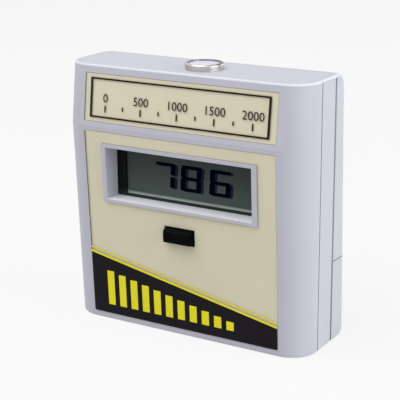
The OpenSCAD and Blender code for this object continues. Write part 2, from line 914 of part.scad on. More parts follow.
// Push switch on the front of the board, with the button on its plunger
module switch_body() {
    color("#26282c")
    difference() {
        union() {
            translate([0, at_depth(switch_face + switch_edge), button_z])
                front_plate(switch_w, switch_w, switch_edge, switch_d - switch_edge);
            rod_y(0, button_z, switch_bore_r + switch_skin, switch_face, switch_face + switch_d / 2);
        }
        rod_y(0, button_z, plunger_r + plunger_gap, switch_face - overrun, switch_face + switch_d / 2);
        rod_y(0, button_z, switch_bore_r, switch_face + switch_skin, board_front - switch_base);
    }
}
module switch_leads() {
    color("#c4c7ca")
    for (x = [-switch_lead_x, switch_lead_x], side = [0, 1])
        translate([x, 0, button_z])
            mirror([0, 0, side]) {
                block(switch_lead_w / 2, board_front - switch_lead_t, board_front, switch_w / 2, switch_w / 2 + switch_lead_reach);
                block(switch_lead_w / 2, board_front - switch_lead_h, board_front, switch_w / 2, switch_w / 2 + switch_lead_t);
            }
}
module switch_plunger() {
    color("#d9d9d4") {
        rod_y(0, button_z, plunger_r, button_back - socket_l + fit, collar_depth);
        rod_y(0, button_z, collar_r, collar_depth, collar_depth + collar_t);
    }
}

// Coil spring from the collar back to the floor of the switch, as one tube along a helix
module switch_spring() {
    start = collar_depth + collar_t + spring_wire_r;
    end = board_front - switch_base - spring_wire_r;
    n = spring_turns * spring_steps;
    rings = [for (i = [0:n]) let (a = 360 * i / spring_steps, d = start + (end - start) * i / n)
        [for (k = [0:spring_sides - 1]) let (b = 360 * k / spring_sides, r = spring_r + spring_wire_r * cos(b))
            [r * cos(a), at_depth(d) + spring_wire_r * sin(b), button_z - r * sin(a)]]];
    color("#c4c7ca")
    polyhedron(
        points = [for (ring = rings) each ring],
        faces = concat(
            [[for (k = [spring_sides - 1:-1:0]) k]],
            [for (i = [0:n - 1]) for (k = [0:spring_sides - 1])
                let (a = i * spring_sides + k, b = i * spring_sides + (k + 1) % spring_sides)
                each [[a, b, b + spring_sides], [a, b + spring_sides, a + spring_sides]]],
            [[for (k = [0:spring_sides - 1]) n * spring_sides + k]]
        )
    );
}
module push_button() {
    flange_depth = front_depth(button_z - button_h / 2 - button_gap) + wall + button_flange_gap;
    face_w = button_w - 2 * button_draft;
    face_h = button_h - 2 * button_draft;
    color("#121214")
    difference() {
        union() {
            hull() {
                translate([0, at_depth(button_face), button_z])
                    front_plate(face_w - 2 * button_edge, face_h - 2 * button_edge, button_edge / 2, button_edge / 2);
                translate([0, at_depth(button_face + button_edge), button_z])
                    front_plate(face_w, face_h, button_edge, button_edge / 2);
                translate([0, at_depth(button_face + button_stand), button_z])
                    front_plate(button_w, button_h, button_edge, button_edge);
            }
            translate([0, at_depth(button_face + button_stand), button_z])
                front_plate(button_w, button_h, button_edge, button_back - button_face - button_stand);
            translate([0, at_depth(flange_depth), button_z])
                front_plate(button_w + 2 * button_flange_out, button_h + 2 * button_flange_out, button_edge, button_flange_t);
        }
        difference() {
            translate([0, at_depth(button_face + button_front_t), button_z])
                front_plate(button_w - 2 * button_wall, button_h - 2 * button_wall, button_edge, board_front);
            rod_y(0, button_z, post_r, 0, button_back);
        }
        rod_y(0, button_z, plunger_r + socket_gap, button_back - socket_l, button_back + overrun);
    }
}

// Sensor: turned ring and barrel in the roof, diffuser, nut, photodiode and its leads
barrel_foot = case_h - barrel_l;
bore_r = barrel_r - barrel_wall;
ring_top = case_h + ring_h;
diffuser_foot = ring_top - diffuser_set - diffuser_t;
module at_sensor(z) {
    translate([sensor_x, at_depth(sensor_depth), z])
        children();
}
module sensor_ring() {
    seat_r = diffuser_r + diffuser_gap;
    color("#a8a29c")
    at_sensor(0)
    rotate_extrude()
    polygon(concat(
        [[barrel_ledge_r, barrel_foot], [barrel_r, barrel_foot], [barrel_r, case_h], [ring_r, case_h]],
        [for (a = [0:15:90]) [ring_r - ring_edge * (1 - cos(a)), ring_top - ring_edge * (1 - sin(a))]],
        [for (a = [90:-30:0]) [seat_r + ring_edge / 2 * (1 - cos(a)), ring_top - ring_edge / 2 * (1 - sin(a))]],
        [[seat_r, diffuser_foot], [bore_r, diffuser_foot], [bore_r, barrel_foot + barrel_ledge],
         [barrel_ledge_r, barrel_foot + barrel_ledge]]
    ));
}
module sensor_diffuser() {
    color("#e6e2e8")
    at_sensor(0)
    rotate_extrude()
    polygon([
        [0, diffuser_foot], [diffuser_r, diffuser_foot], [diffuser_r, diffuser_foot + diffuser_t - diffuser_dome],
        [diffuser_r * 2 / 3, diffuser_foot + diffuser_t - diffuser_dome / 3], [0, diffuser_foot + diffuser_t]
    ]);
}
module sensor_nut() {
    color("#b4b0aa")
    at_sensor(case_h - wall - fit / 2 - nut_t)
    difference() {
        cylinder(r = nut_w / 2 / cos(30), h = nut_t, $fn = 6);
        translate([0, 0, -overrun])
            cylinder(r = barrel_r + roof_hole_gap, h = nut_t + 2 * overrun);
    }
}
module photodiode() {
    seat = barrel_foot + barrel_ledge;
    color("#c9b48a")
    at_sensor(0)
    rotate_extrude()
    polygon([
        [0, seat], [diode_flange_r, seat], [diode_flange_r, seat + diode_flange_t], [diode_r, seat + diode_flange_t],
        [diode_r, seat + diode_h], [diode_window_r, seat + diode_h],
        [diode_window_r, seat + diode_h - diode_window_in], [0, seat + diode_h - diode_window_in]
    ]);
}
module sensor_leads() {
    top = barrel_foot + barrel_ledge;
    color("#b88a4a")
    for (x = [-diode_lead_x, diode_lead_x])
        translate([sensor_x + x, at_depth(sensor_depth), 0]) {
            translate([0, 0, diode_lead_end])
                cylinder(r = diode_lead_r, h = top - diode_lead_end);
            translate([0, 0, diode_lead_end])
                sphere(r = diode_lead_r, $fn = 24);
            translate([0, 0, diode_lead_end])
                rotate([90, 0, 0])
                    cylinder(r = diode_lead_r, h = sensor_depth - board_back);
        }
}

// Battery on its side, with both terminals at the right
module battery() {
    color("#3b3f45")
    translate([-can_end - terminal_h, at_depth(battery_mid), battery_z])
        rotate([90, 0, 90])
            linear_extrude(height = can_l)
                round_rect(battery_d, battery_h, battery_corner_r);
}
module along_x(x, depth, z) {
    translate([x, at_depth(depth), z])
        rotate([0, 90, 0])
            children();
}
module battery_terminals() {
    color("#c9cbcd") {
        along_x(can_end, battery_mid, battery_z - terminal_pitch / 2)
            difference() {
                cylinder(r = socket_r, h = terminal_h);
                translate([0, 0, terminal_base_t])
                    cylinder(r = stud_r, h = terminal_h);
            }
        along_x(can_end, battery_mid, battery_z + terminal_pitch / 2) {
            cylinder(r = stud_r, h = terminal_h);
            cylinder(r = socket_r, h = terminal_base_t);
        }
    }
}
module battery_snap() {
    x0 = can_end + snap_gap;
    color("#17171a")
    difference() {
        translate([x0, at_depth(battery_mid), battery_z])
            rotate([90, 0, 90])
                linear_extrude(height = snap_t)
                    round_rect(snap_d, snap_h, snap_r);
        for (side = [-1, 1])
            along_x(x0 - overrun, battery_mid, battery_z + side * terminal_pitch / 2)
                cylinder(r = snap_hole_r, h = overrun + terminal_h);
    }
}

// Metal stud and socket of the snap, pushed onto the battery's terminals
module snap_contacts() {
    floor_x = can_end + snap_gap + terminal_h;
    color("#c9cbcd") {
        along_x(can_end + terminal_base_t + snap_gap, battery_mid, battery_z + terminal_pitch / 2)
            difference() {
                cylinder(r = socket_r, h = floor_x - can_end - terminal_base_t - snap_gap);
                translate([0, 0, -overrun])
                    cylinder(r = stud_r + socket_gap, h = terminal_h + 2 * overrun);
            }
        along_x(can_end + terminal_base_t + snap_gap, battery_mid, battery_z - terminal_pitch / 2)
            cylinder(r = stud_r - socket_gap, h = floor_x - can_end - terminal_base_t - snap_gap);
    }
}

// Two leads out of the snap, round one bend, and through the partition to the board
module battery_leads() {
    x0 = can_end + snap_gap + snap_t;
    for (i = [0, 1]) {
        z = lead_hole_z + (i - 1 / 2) * lead_pitch;
        color(i == 0 ? "#17171a" : "#a8201c") {
            along_x(x0, battery_mid, z)
                cylinder(r = lead_r, h = lead_hole_x - x0, $fn = 24);
            translate([lead_hole_x, at_depth(battery_mid), z])
                sphere(r = lead_r, $fn = 24);
            rod_y(lead_hole_x, z, lead_r, board_back, battery_mid);
        }
    }
}

// Foam pad on the inside of the door
module battery_pad() {
    color("#4a4a4c")
    on_back_face()
        translate([0, -wall * cos(back_angle) - pad_glue - pad_t, battery_z])
            front_plate(pad_w, pad_h, label_corner_r, pad_t);
}

front_shell();
rear_shell();
battery_door();
upper_label();
lower_label();
display_frame();
lcd_glass();
lcd_polariser();
lcd_reflector();
contact_strips();
circuit_board();
meter_chip();
meter_chip_legs();
amplifier_chip();
resistors();
film_capacitors();
electrolytic_capacitors();
board_screws();
switch_body();
switch_leads();
switch_plunger();
switch_spring();
push_button();
sensor_ring();
sensor_diffuser();
sensor_nut();
photodiode();
sensor_leads();
battery();
battery_terminals();
battery_snap();
snap_contacts();
battery_leads();
battery_pad();
case_screws();
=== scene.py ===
import math

import bpy
from mathutils import Matrix, Vector


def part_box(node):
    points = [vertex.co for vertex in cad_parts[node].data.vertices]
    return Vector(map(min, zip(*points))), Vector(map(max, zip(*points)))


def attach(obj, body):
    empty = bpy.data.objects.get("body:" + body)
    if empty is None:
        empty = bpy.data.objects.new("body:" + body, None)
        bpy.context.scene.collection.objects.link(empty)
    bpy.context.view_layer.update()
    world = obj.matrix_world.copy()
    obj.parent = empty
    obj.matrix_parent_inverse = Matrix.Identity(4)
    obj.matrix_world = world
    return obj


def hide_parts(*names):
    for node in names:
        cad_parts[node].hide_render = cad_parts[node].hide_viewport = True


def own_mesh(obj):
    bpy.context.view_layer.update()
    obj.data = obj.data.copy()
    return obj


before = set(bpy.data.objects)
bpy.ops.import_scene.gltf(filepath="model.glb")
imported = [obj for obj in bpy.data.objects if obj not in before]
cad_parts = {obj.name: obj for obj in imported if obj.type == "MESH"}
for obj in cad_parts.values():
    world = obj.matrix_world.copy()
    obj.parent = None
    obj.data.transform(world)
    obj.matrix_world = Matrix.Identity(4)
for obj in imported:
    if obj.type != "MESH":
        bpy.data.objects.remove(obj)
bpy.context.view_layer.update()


# Camera. The meter is seen from in front, from its right and from above, with a long lens.
# The aim and the distance are measured from the ridge, the line where the two front faces meet.
ridge_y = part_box("front_shell")[0].y
view_from = Vector((0.2426, ridge_y - 0.3825, 0.1917))
view_at = Vector((0.01095, ridge_y, 0.05927))
view_roll = math.radians(0.461)
look = (view_at - view_from).normalized()
right = look.cross(Vector((0, 0, 1))).normalized()
up = right.cross(look)
rolled_right = right * math.cos(view_roll) - up * math.sin(view_roll)
rolled_up = right * math.sin(view_roll) + up * math.cos(view_roll)
turn = Matrix((rolled_right, rolled_up, -look)).transposed()
bpy.ops.object.camera_add(location=view_from, rotation=turn.to_euler())
camera = bpy.context.object
camera.name = "camera"
camera.data.sensor_width = 36
camera.data.lens = 110.08
camera.data.clip_end = 20
bpy.context.scene.camera = camera
bpy.context.scene.view_settings.view_transform = "Standard"


# Room. A white surround that the camera, polished metal and glass see at full white,
# while matt surfaces get a softer, slightly cool light from it.
def either(tree, one, other):
    """A share that is one where one of two shares is one."""
    larger = tree.nodes.new("ShaderNodeMath")
    larger.operation = "MAXIMUM"
    tree.links.new(one, larger.inputs[0])
    tree.links.new(other, larger.inputs[1])
    return larger.outputs[0]


world = bpy.data.worlds.new("white_room")
bpy.context.scene.world = world
world.use_nodes = True
room = world.node_tree
room.nodes.clear()
room_light = room.nodes.new("ShaderNodeBackground")
room_light.inputs["Color"].default_value = (0.90, 0.92, 1.0, 1)
room_light.inputs["Strength"].default_value = 0.36
room_seen = room.nodes.new("ShaderNodeBackground")
room_seen.inputs["Color"].default_value = (1, 1, 1, 1)
room_seen.inputs["Strength"].default_value = 1.0
room_rays = room.nodes.new("ShaderNodeLightPath").outputs
seen_or_mirrored = either(room, room_rays["Is Camera Ray"], room_rays["Is Glossy Ray"])
room_mix = room.nodes.new("ShaderNodeMixShader")
room_out = room.nodes.new("ShaderNodeOutputWorld")
room.links.new(either(room, seen_or_mirrored, room_rays["Is Transmission Ray"]), room_mix.inputs[0])
room.links.new(room_light.outputs[0], room_mix.inputs[1])
room.links.new(room_seen.outputs[0], room_mix.inputs[2])
room.links.new(room_mix.outputs[0], room_out.inputs["Surface"])


# Floor. A wide pale sheet that the meter stands on. It glows a little for the camera,
# so that it ends up white, and still takes the meter's shadow.
floor_size, floor_drop, floor_glow = 12, 0.0002, 0.84
bpy.ops.object.select_all(action="DESELECT")
bpy.ops.mesh.primitive_plane_add(size=floor_size, location=(0, 0, -floor_drop))
floor = bpy.context.object
floor.name = "floor"
floor_sheet = bpy.data.materials.new("pale_floor")
floor_sheet.use_nodes = True
sheet = floor_sheet.node_tree
sheet.nodes.clear()
sheet_matt = sheet.nodes.new("ShaderNodeBsdfDiffuse")
sheet_matt.inputs["Color"].default_value = (0.62, 0.62, 0.64, 1)
sheet_glow = sheet.nodes.new("ShaderNodeEmission")
sheet_glow.inputs["Strength"].default_value = 1.0
sheet_rays = sheet.nodes.new("ShaderNodeLightPath").outputs
glow_share = sheet.nodes.new("ShaderNodeMath")
glow_share.operation = "MULTIPLY"
glow_share.inputs[1].default_value = floor_glow
sheet_mix = sheet.nodes.new("ShaderNodeMixShader")
sheet_out = sheet.nodes.new("ShaderNodeOutputMaterial")
sheet_seen = either(sheet, sheet_rays["Is Camera Ray"], sheet_rays["Is Glossy Ray"])
sheet.links.new(sheet_seen, glow_share.inputs[0])
sheet.links.new(glow_share.outputs[0], sheet_mix.inputs[0])
sheet.links.new(sheet_matt.outputs[0], sheet_mix.inputs[1])
sheet.links.new(sheet_glow.outputs[0], sheet_mix.inputs[2])
sheet.links.new(sheet_mix.outputs[0], sheet_out.inputs["Surface"])
floor.data.materials.append(floor_sheet)


# Lamps. One large soft lamp stands high in front on the left, so that its light reaches the sill of the
# window, and one stands low on the right, which makes the right side as bright as the top.
# A weaker one lights the back.
lamps_aim = Vector((0, 0, 0.05))


def soft_lamp(name, place, size, power, colour):
    """A square lamp that faces the middle of the meter."""
    bpy.ops.object.light_add(type="AREA", location=place)
    lamp = bpy.context.object
    lamp.name = name
    lamp.rotation_euler = (lamps_aim - Vector(place)).to_track_quat("-Z", "Y").to_euler()
    lamp.data.size = size
    lamp.data.energy = power
    lamp.data.color = colour


soft_lamp("lamp_high", place=(-0.42, -0.66, 1.52), size=1.6, power=27, colour=(1.0, 0.99, 0.97))
soft_lamp("lamp_right", place=(1.8, 0.06, 0.4), size=1.4, power=31, colour=(0.95, 1.0, 0.97))
soft_lamp("lamp_back", place=(0.6, 1.75, 0.25), size=1.0, power=9, colour=(1.0, 1.0, 0.98))


# Case shells and battery door: moulded in light grey plastic with a fine spark texture.
# The rear pieces come from a second mould and are a shade cooler than the front.
# The sill of the window is painted a shade lighter as painted light, and the edge round the top of the front
# shell carries a painted highlight.

# The grain of a surface: a fine and a wide noise together vary its colour. The wide one also varies the
# gloss, and the fine one is the relief as well.
wide_grain_scale = 55
rough_spread = 0.14
grain = bpy.data.node_groups.new("moulded_grain", "ShaderNodeTree")
colour_kind, number_kind = "NodeSocketColor", "NodeSocketFloat"
grain_takes = {"Colour": colour_kind, "Spread": number_kind, "Grain": number_kind, "Roughness": number_kind}
grain_gives = {"Colour": colour_kind, "Roughness": number_kind, "Height": number_kind}
for label, kind in grain_takes.items():
    grain.interface.new_socket(label, in_out="INPUT", socket_type=kind)
for label, kind in grain_gives.items():
    grain.interface.new_socket(label, in_out="OUTPUT", socket_type=kind)
grain_in = grain.nodes.new("NodeGroupInput")
grain_out = grain.nodes.new("NodeGroupOutput")
grain_place = grain.nodes.new("ShaderNodeTexCoord")
grain_fine = grain.nodes.new("ShaderNodeTexNoise")
grain_fine.inputs["Detail"].default_value = 3
grain_fine.inputs["Roughness"].default_value = 0.6
grain_wide = grain.nodes.new("ShaderNodeTexNoise")
grain_wide.inputs["Scale"].default_value = wide_grain_scale
grain_wide.inputs["Detail"].default_value = 4
grain_blend = grain.nodes.new("ShaderNodeMath")
grain_blend.operation = "ADD"
grain_centre = grain.nodes.new("ShaderNodeMath")
grain_centre.operation = "SUBTRACT"
grain_centre.inputs[1].default_value = 1.0
grain_amount = grain.nodes.new("ShaderNodeMath")
grain_amount.operation = "MULTIPLY"
grain_value = grain.nodes.new("ShaderNodeMath")
grain_value.operation = "ADD"
grain_value.inputs[1].default_value = 1.0
grain_tint = grain.nodes.new("ShaderNodeHueSaturation")
grain_rough = grain.nodes.new("ShaderNodeMath")
grain_rough.operation = "MULTIPLY_ADD"
grain_rough.inputs[1].default_value = rough_spread
grain.links.new(grain_place.outputs["Object"], grain_fine.inputs["Vector"])
grain.links.new(grain_place.outputs["Object"], grain_wide.inputs["Vector"])
grain.links.new(grain_in.outputs["Grain"], grain_fine.inputs["Scale"])
grain.links.new(grain_fine.outputs["Fac"], grain_blend.inputs[0])
grain.links.new(grain_wide.outputs["Fac"], grain_blend.inputs[1])
grain.links.new(grain_blend.outputs[0], grain_centre.inputs[0])
grain.links.new(grain_centre.outputs[0], grain_amount.inputs[0])
grain.links.new(grain_in.outputs["Spread"], grain_amount.inputs[1])
grain.links.new(grain_amount.outputs[0], grain_value.inputs[0])
grain.links.new(grain_value.outputs[0], grain_tint.inputs["Value"])
grain.links.new(grain_in.outputs["Colour"], grain_tint.inputs["Color"])
grain.links.new(grain_wide.outputs["Fac"], grain_rough.inputs[0])
grain.links.new(grain_in.outputs["Roughness"], grain_rough.inputs[2])
grain.links.new(grain_tint.outputs["Color"], grain_out.inputs["Colour"])
grain.links.new(grain_rough.outputs[0], grain_out.inputs["Roughness"])
grain.links.new(grain_fine.outputs["Fac"], grain_out.inputs["Height"])


def finish(name, colour, rough, grain_scale, spread=0.06, bump=0.15, bump_depth=0.00004, metal=0.0,
           coat=0.0, shine=0.5):
    """A material whose colour, gloss and surface vary with the moulded grain."""
    made = bpy.data.materials.new(name)
    made.use_nodes = True
    tree = made.node_tree
    shader = tree.nodes["Principled BSDF"]
    shader.inputs["Metallic"].default_value = metal
    shader.inputs["Specular IOR Level"].default_value = shine
    shader.inputs["Coat Weight"].default_value = coat
    shader.inputs["Coat Roughness"].default_value = 0.12
    texture = tree.nodes.new("ShaderNodeGroup")
    texture.name = "grain"
    texture.node_tree = grain
    texture.inputs["Colour"].default_value = (*colour, 1)
    texture.inputs["Spread"].default_value = spread
    texture.inputs["Grain"].default_value = grain_scale
    texture.inputs["Roughness"].default_value = rough - rough_spread / 2
    relief = tree.nodes.new("ShaderNodeBump")
    relief.name = "relief"
    relief.inputs["Strength"].default_value = bump
    relief.inputs["Distance"].default_value = bump_depth
    tree.links.new(texture.outputs["Colour"], shader.inputs["Base Color"])
    tree.links.new(texture.outputs["Roughness"], shader.inputs["Roughness"])
    tree.links.new(texture.outputs["Height"], relief.inputs["Height"])
    tree.links.new(relief.outputs["Normal"], shader.inputs["Normal"])
    return made


def recolour(made, colours):
    """Lets a finish take its colour from other nodes, still varied by the grain."""
    made.node_tree.links.new(colours, made.node_tree.nodes["grain"].inputs["Colour"])


def place_on(tree, axis):
    """The place of a point on one axis of the meter, in metres."""
    place = tree.nodes.new("ShaderNodeTexCoord")
    split = tree.nodes.new("ShaderNodeSeparateXYZ")
    tree.links.new(place.outputs["Object"], split.inputs[0])
    return split.outputs[axis]


def near(tree, place, middle, reach):
    """A mask of the points whose place is within reach of the middle."""
    mask = tree.nodes.new("ShaderNodeMath")
    mask.operation = "COMPARE"
    mask.inputs[1].default_value = middle
    mask.inputs[2].default_value = reach
    tree.links.new(place, mask.inputs[0])
    return mask.outputs[0]


def both(tree, one, other):
    """A mask of the points that lie in two masks."""
    product = tree.nodes.new("ShaderNodeMath")
    product.operation = "MULTIPLY"
    tree.links.new(one, product.inputs[0])
    tree.links.new(other, product.inputs[1])
    return product.outputs[0]


def mixed(tree, mask, colour, masked_colour):
    """One colour, and another where the mask is one."""
    mix = tree.nodes.new("ShaderNodeMix")
    mix.data_type = "RGBA"
    mix.inputs["A"].default_value = (*colour, 1)
    mix.inputs["B"].default_value = (*masked_colour, 1)
    tree.links.new(mask, mix.inputs["Factor"])
    return mix


def stand_in(node, made, body, crisp_from):
    """A merged copy of a solid that stands for it. Only edges sharper than crisp_from stay crisp."""
    piece = bpy.data.objects.new(node + "_finished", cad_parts[node].data.copy())
    bpy.context.collection.objects.link(piece)
    bpy.ops.object.select_all(action="DESELECT")
    piece.select_set(True)
    bpy.context.view_layer.objects.active = piece
    bpy.ops.object.mode_set(mode="EDIT")
    bpy.ops.mesh.select_all(action="SELECT")
    bpy.ops.mesh.remove_doubles(threshold=0.000002)
    bpy.ops.mesh.customdata_custom_splitnormals_clear()
    bpy.ops.object.mode_set(mode="OBJECT")
    bpy.ops.object.shade_smooth_by_angle(angle=crisp_from)
    even = piece.modifiers.new("even_light", "WEIGHTED_NORMAL")
    even.keep_sharp = True
    bpy.ops.object.modifier_apply(modifier="even_light")
    piece.data.materials.clear()
    piece.data.materials.append(made)
    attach(piece, body)
    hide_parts(node)
    return piece


front_grey, rear_grey = (0.490, 0.487, 0.550), (0.492, 0.500, 0.548)
sill_painted_light, highlight_grey = (0.820, 0.825, 0.880), (0.640, 0.645, 0.710)
sill_z, sill_reach, sill_half_w = 0.05335, 0.00025, 0.0329
highlight_z, highlight_reach = 0.10632, 0.00036
front_plastic = finish("front_plastic", front_grey, rough=0.52, grain_scale=2400)
tree = front_plastic.node_tree
height, side = place_on(tree, "Z"), place_on(tree, "X")
# Painted light: a lighter grey on the sill of the window, and a painted highlight along the edge round the
# top of the front shell.
on_sill = both(tree, near(tree, height, sill_z, sill_reach), near(tree, side, 0, sill_half_w))
front_and_sill = mixed(tree, on_sill, front_grey, sill_painted_light)
with_highlight = mixed(tree, near(tree, height, highlight_z, highlight_reach), front_grey, highlight_grey)
tree.links.new(front_and_sill.outputs["Result"], with_highlight.inputs["A"])
recolour(front_plastic, with_highlight.outputs["Result"])
rear_plastic = finish("rear_plastic", rear_grey, rough=0.52, grain_scale=2400)

# Merged copies stand for the shells and the door. There the steps of the rounded corners, which turn by
# 9 degrees, shade as one surface, and the ridge between the two front faces, 9.75 degrees, stays crisp.
ridge_crisp = math.radians(9.4)
stand_in("front_shell", front_plastic, "root", ridge_crisp)
stand_in("rear_shell", rear_plastic, "root", ridge_crisp)
stand_in("battery_door", rear_plastic, "door", ridge_crisp)


# Labels: cream plastic film with a low sheen, stuck into shallow pockets on both front faces.
# The film has a slight orange peel, and the inks are printed on its front as thin layers.
label_half_w = 0.04285


def dress(node, made):
    """Gives a solid its material."""
    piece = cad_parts[node]
    piece.data.materials.clear()
    piece.data.materials.append(made)


label_film = finish("label_film", (0.680, 0.628, 0.462), rough=0.50, grain_scale=900, spread=0.045,
                    bump=0.10, shine=0.3)
dress("upper_label", label_film)
dress("lower_label", label_film)


# Print on the upper label: a thin dark line that runs round inside the film's edge,
# and a plain row of numbers over ticks, as on any scale. Both labels have a fine dark line along
# their left edge, a painted shadow of the pocket's edge.
# The places on a label are measured from the ridge, along the face that the label lies on.
ridge_z = 0.0825
lower_face_lean, upper_face_lean, upper_face_h = 0.0037, 0.00305, 0.0242
lower_slope = math.atan(lower_face_lean / ridge_z)
upper_slope = math.atan(upper_face_lean / upper_face_h)
film_front = 0.00015
ink_lift, ink_thick = 0.00003, 0.00002
on_lower = Matrix.Translation((0, ridge_y, ridge_z)) @ Matrix.Rotation(lower_slope, 4, "X")
on_upper = Matrix.Translation((0, ridge_y, ridge_z)) @ Matrix.Rotation(-upper_slope, 4, "X")
facing_front = (math.pi / 2, 0, 0)


def start_sheet(name, x0, x1, z0, z1):
    """A flat rectangle that faces the front, in the plane y = 0."""
    bpy.ops.object.select_all(action="DESELECT")
    middle = ((x0 + x1) / 2, 0, (z0 + z1) / 2)
    bpy.ops.mesh.primitive_plane_add(size=1, location=middle, rotation=facing_front)
    piece = bpy.context.object
    piece.name = name
    piece.scale = (x1 - x0, z1 - z0, 1)
    bpy.ops.object.transform_apply(location=True, rotation=True, scale=True)
    return piece


def lay_print(piece, face, lift, ink):
    """Gives a flat print its ink and thickness, and lays it on a label."""
    bpy.ops.object.select_all(action="DESELECT")
    piece.select_set(True)
    bpy.context.view_layer.objects.active = piece
    solid = piece.modifiers.new("thickness", "SOLIDIFY")
    solid.thickness = ink_thick
    solid.offset = 0
    bpy.ops.object.modifier_apply(modifier="thickness")
    piece.data.materials.clear()
    piece.data.materials.append(ink)
    piece.matrix_world = face @ Matrix.Translation((0, film_front - lift, 0))
    bpy.ops.object.transform_apply(location=True, rotation=True, scale=True)
    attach(piece, "root")


dark_ink = finish("dark_ink", (0.022, 0.014, 0.010), rough=0.50, grain_scale=1500, spread=0.35,
                  bump=0.05, shine=0.06)

# The border is drawn too narrow and then stretched sideways, so its upright lines are the wider ones.
border_half_w, border_foot, border_head = 0.0402, 0.0037, 0.0195
border_line, upright_line_stretch = 0.0007, 1.4
drawn_half_w = border_half_w / upright_line_stretch
border = start_sheet("label_border", -drawn_half_w, drawn_half_w, border_foot, border_head)
bpy.ops.object.mode_set(mode="EDIT")
bpy.ops.mesh.select_all(action="SELECT")
bpy.ops.mesh.inset(thickness=border_line)
bpy.ops.mesh.delete(type="FACE")
bpy.ops.object.mode_set(mode="OBJECT")
border.scale = (upright_line_stretch, 1, 1)
bpy.ops.object.transform_apply(location=True, rotation=True, scale=True)
lay_print(border, on_upper, ink_lift, dark_ink)

# Painted shadow: a fine dark line along the left edge of each label, where shade falls at the pocket's edge.
pocket_shadow_ink = finish("pocket_shadow_ink", (0.060, 0.048, 0.046), rough=0.50, grain_scale=1500, spread=0.35,
                  bump=0.05, shine=0.10)
for name, face, edge_w, edge_foot, edge_head in (
    ("upper_label_pocket_shadow", on_upper, 0.00023, 0.0022, 0.0208),
    ("lower_label_pocket_shadow", on_lower, 0.00033, -0.0536, -0.0022),
):
    edge = start_sheet(name, -label_half_w, edge_w - label_half_w, edge_foot, edge_head)
    lay_print(edge, face, ink_lift, pocket_shadow_ink)

scale_z, scale_half_w = 0.0088, 0.033
tick_count, tick_half_w = 9, 0.0003
long_tick_h, short_tick_h = 0.0028, 0.0016
number_step, number_size, number_gap = 500, 0.0048, 0.0012
for step in range(tick_count):
    x = scale_half_w * (2 * step / (tick_count - 1) - 1)
    numbered = step % 2 == 0
    tick_h = long_tick_h if numbered else short_tick_h
    tick = start_sheet(f"scale_tick_{step}", x - tick_half_w, x + tick_half_w, scale_z - tick_h, scale_z)
    lay_print(tick, on_upper, ink_lift, dark_ink)
    if numbered:
        bpy.ops.object.select_all(action="DESELECT")
        bpy.ops.object.text_add(rotation=facing_front)
        number = bpy.context.object
        number.name = f"scale_number_{step // 2}"
        number.data.body = str(step // 2 * number_step)
        number.data.align_x = "CENTER"
        number.data.size = number_size
        number.data.resolution_u = 4
        bpy.ops.object.convert(target="MESH")
        number = bpy.context.object
        number.location = (x, 0, scale_z + number_gap)
        bpy.ops.object.transform_apply(location=True, rotation=True, scale=True)
        lay_print(number, on_upper, ink_lift, dark_ink)


# Print on the lower label: a black field across its foot under two yellow stripes that fall to the
# right, with a row of yellow bars that follow them, as a plain sign for a level.
black_ink = finish("black_ink", (0.0060, 0.0045, 0.0065), rough=0.48, grain_scale=3200, spread=0.9,
                   bump=0.06, shine=0.10)
yellow_ink = finish("yellow_ink", (0.80, 0.72, 0.010), rough=0.46, grain_scale=1500, spread=0.08,
                    bump=0.05, shine=0.3)
field_foot = -0.07983
field_left, field_right = field_foot + 0.0262, field_foot + 0.0090
field_corner_r = 0.0007
wide_stripe, thin_stripe, stripe_step = 0.0009, 0.0005, 0.0020
stripe_lift, bar_lift = 0.00004, 0.00006


def pull(piece, chosen, by):
    """Moves the points of a piece whose place fits, as one would by hand."""
    for part in (*piece.data.polygons, *piece.data.edges):
        part.select = False
    for point in piece.data.vertices:
        point.select = chosen(point.co)
    bpy.ops.object.mode_set(mode="EDIT")
    bpy.context.tool_settings.mesh_select_mode = (True, False, False)
    bpy.ops.transform.translate(value=by)
    bpy.ops.object.mode_set(mode="OBJECT")


def slanted(name, left, right, tall):
    """A strip across the whole label that goes from the height left to the height right."""
    strip = start_sheet(name, -label_half_w, label_half_w, 0, tall)
    pull(strip, lambda at: at.x < 0, (0, 0, left))
    pull(strip, lambda at: at.x > 0, (0, 0, right))
    return strip


field = start_sheet("black_field", -label_half_w, label_half_w, field_foot, field_left)
foot_band = field_foot + field_corner_r
pull(field, lambda at: at.x > 0 and at.z > foot_band, (0, 0, field_right - field_left))

# Only the two corners at the foot are rounded.
for point in field.data.vertices:
    point.select = point.co.z < foot_band
bpy.ops.object.mode_set(mode="EDIT")
bpy.ops.mesh.bevel(offset=field_corner_r, segments=4, affect="VERTICES")
bpy.ops.object.mode_set(mode="OBJECT")
lay_print(field, on_lower, ink_lift, black_ink)
stripes = (("yellow_stripe_wide", 0, wide_stripe), ("yellow_stripe_thin", stripe_step, thin_stripe))
for name, above, tall in stripes:
    stripe = slanted(name, field_left + above, field_right + above, tall)
    lay_print(stripe, on_lower, stripe_lift, yellow_ink)

bar_count, first_bar_x, bar_pitch, bar_w = 11, -0.0355, 0.0056, 0.0033
bar_foot_gap, bar_head_gap = 0.0040, 0.0058
fall = (field_left - field_right) / (2 * label_half_w)
for step in range(bar_count):
    x = first_bar_x + step * bar_pitch
    bar_head = field_left - fall * (x + label_half_w) - bar_head_gap
    bar = start_sheet(f"level_bar_{step}", x, x + bar_w, field_foot + bar_foot_gap, bar_head)
    lay_print(bar, on_lower, bar_lift, yellow_ink)


# Display: a black plastic frame with a lip holds two plates of glass with a grey film on the front and
# a foil behind, and two layered rubber strips join the glass to the board. The film is painted darker
# towards the top as painted shade, and the bare rim of the glass shows as a pale line, a painted highlight.
# The frame is painted lighter and greener at its foot beside that line, as painted light.
def share_between(tree, place, low, high):
    """How far a place is on the way from low to high, from 0 to 1."""
    share = tree.nodes.new("ShaderNodeMapRange")
    share.inputs["From Min"].default_value = low
    share.inputs["From Max"].default_value = high
    tree.links.new(place, share.inputs["Value"])
    return share.outputs["Result"]


